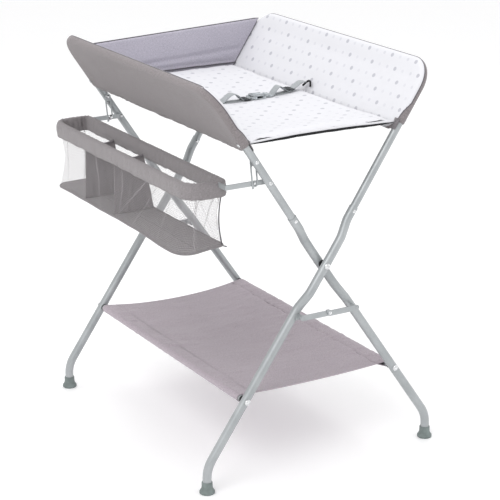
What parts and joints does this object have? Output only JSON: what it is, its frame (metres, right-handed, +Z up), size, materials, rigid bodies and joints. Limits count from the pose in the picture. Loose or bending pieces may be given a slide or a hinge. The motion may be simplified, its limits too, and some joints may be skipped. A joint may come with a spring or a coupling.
{
  "type": "changing table",
  "caption": "Folding baby changing table with two crossed tube frames, a padded bed with side panels and a waist belt, a fabric shelf and a fold-up mesh basket.",
  "frame": {"origin": "on the floor below the scissor axis, halfway along the table", "axes": "+Z up, +Y from the open end to the back panel, +X away from the basket"},
  "size_m": [0.688, 0.8478, 1.0016],
  "materials": {
    "frame_steel": "satin grey powder coat",
    "bright_steel": "zinc plated, domed heads",
    "foot_rubber": "matt moulded rubber",
    "dark_plastic": "moulded nylon",
    "belt_plastic": "moulded buckle",
    "panel_cloth": "grey woven polyester",
    "back_cloth": "grey woven polyester",
    "pad_cloth": "white coated cloth with a grid of grey dots",
    "shelf_cloth": "mauve grey woven polyester",
    "board_cover": "black covered board",
    "mesh_cloth": "open knitted net",
    "webbing": "woven webbing"
  },
  "bodies": {
    "left_frame": {"left_top_loop": "frame_steel", "right_leg_front": "frame_steel", "right_leg_back": "frame_steel", "right_foot_cap_front": "foot_rubber", "right_foot_cap_back": "foot_rubber", "left_loop_rivets": "bright_steel", "pivot_bolts": "bright_steel", "pivot_nuts": "bright_steel", "pivot_spacers": "dark_plastic", "right_shelf_rod": "frame_steel", "right_rod_plugs": "dark_plastic", "right_shelf_bolts": "bright_steel", "shelf_fabric": "shelf_cloth", "back_brace_lug": "frame_steel", "front_brace_post": "frame_steel", "left_side_panel": "panel_cloth", "mattress_pad": "pad_cloth", "base_board": "board_cover", "back_panel": "back_cloth", "panel_snaps_left": "bright_steel", "arm_pivot_rivets": "bright_steel", "link_pivot_rivets": "bright_steel"},
    "right_frame": {"right_top_loop": "frame_steel", "left_leg_front": "frame_steel", "left_leg_back": "frame_steel", "left_foot_cap_front": "foot_rubber", "left_foot_cap_back": "foot_rubber", "right_loop_rivets": "bright_steel", "left_shelf_rod": "frame_steel", "left_rod_plugs": "dark_plastic", "left_shelf_bolts": "bright_steel", "front_brace_lug": "frame_steel", "back_brace_post": "frame_steel", "right_side_panel": "panel_cloth", "panel_snaps_right": "bright_steel"},
    "front_left_brace": {"front_brace_left_bar": "frame_steel"},
    "front_right_brace": {"front_brace_right_bar": "frame_steel", "front_brace_rivet": "bright_steel"},
    "back_left_brace": {"back_brace_left_bar": "frame_steel", "back_brace_rivet": "bright_steel"},
    "back_right_brace": {"back_brace_right_bar": "frame_steel"},
    "basket": {"basket_arm_front": "frame_steel", "basket_arm_back": "frame_steel", "arm_bolts": "bright_steel", "basket_rim": "frame_steel", "basket_band": "panel_cloth", "basket_mesh": "mesh_cloth", "basket_floor": "panel_cloth", "basket_floor_wire": "dark_plastic", "basket_divider_front": "panel_cloth", "basket_divider_back": "panel_cloth"},
    "front_link": {"basket_link_front": "frame_steel"},
    "back_link": {"basket_link_back": "frame_steel"},
    "belt": {"belt_strap_left": "webbing", "belt_strap_right": "webbing", "belt_slider_left": "dark_plastic", "buckle_socket": "belt_plastic"},
    "buckle_male": {"buckle_tongue": "belt_plastic"},
    "belt_tail": {"belt_slider_right": "dark_plastic"}
  },
  "joints": [
    {"name": "x_fold", "type": "hinge", "parent": "left_frame", "child": "right_frame", "pos_m": [0, 0, 0.53], "axis": [0, -1, 0], "range_deg": [0, 56], "deforming": ["mattress_pad", "base_board", "back_panel", "shelf_fabric"]},
    {"name": "front_left_brace_fold", "type": "hinge", "parent": "right_frame", "child": "front_left_brace", "pos_m": [-0.07175, -0.4173, 0.412], "axis": [0, -1, 0], "range_deg": [0, 41.3]},
    {"name": "front_right_brace_fold", "type": "hinge", "parent": "left_frame", "child": "front_right_brace", "pos_m": [0.08235, -0.4203, 0.412], "axis": [0, 1, 0], "range_deg": [0, 63.6]},
    {"name": "back_right_brace_fold", "type": "hinge", "parent": "left_frame", "child": "back_right_brace", "pos_m": [0.07175, 0.4173, 0.412], "axis": [0, 1, 0], "range_deg": [0, 41.3]},
    {"name": "back_left_brace_fold", "type": "hinge", "parent": "right_frame", "child": "back_left_brace", "pos_m": [-0.08235, 0.4203, 0.412], "axis": [0, -1, 0], "range_deg": [0, 63.6]},
    {"name": "basket_fold", "type": "hinge", "parent": "left_frame", "child": "basket", "pos_m": [-0.15232, 0, 0.757], "axis": [0, 1, 0], "range_deg": [0, 38]},
    {"name": "front_link_swing", "type": "hinge", "parent": "left_frame", "child": "front_link", "pos_m": [-0.18967, -0.376, 0.813], "axis": [0, -1, 0], "range_deg": [0, 10.7]},
    {"name": "back_link_swing", "type": "hinge", "parent": "left_frame", "child": "back_link", "pos_m": [-0.18967, 0.376, 0.813], "axis": [0, -1, 0], "range_deg": [0, 10.7]},
    {"name": "belt_follow", "type": "hinge", "parent": "left_frame", "child": "belt", "pos_m": [0, 0, 0.53], "axis": [0, -1, 0], "range_deg": [0, 28], "deforming": ["belt_strap_left"]},
    {"name": "buckle_release", "type": "slide", "parent": "belt", "child": "buckle_male", "axis": [1, 0, 0], "range_m": [0, 0.022], "deforming": ["belt_strap_right"]},
    {"name": "belt_tail_swing", "type": "hinge", "parent": "buckle_male", "child": "belt_tail", "pos_m": [0, 0, 0.53], "axis": [0, -1, 0], "range_deg": [0, 25.76]}
  ],
  "couplings": [
    {"joint": "front_left_brace_fold", "follows": "x_fold", "ratio": 0.7364},
    {"joint": "front_right_brace_fold", "follows": "x_fold", "ratio": 1.1343},
    {"joint": "back_right_brace_fold", "follows": "x_fold", "ratio": 0.7364},
    {"joint": "back_left_brace_fold", "follows": "x_fold", "ratio": 1.1343},
    {"joint": "belt_follow", "follows": "x_fold", "ratio": 0.5},
    {"joint": "belt_tail_swing", "follows": "x_fold", "ratio": 0.46},
    {"joint": "front_link_swing", "follows": "basket_fold", "ratio": 0.28},
    {"joint": "back_link_swing", "follows": "basket_fold", "ratio": 0.28}
  ]
}
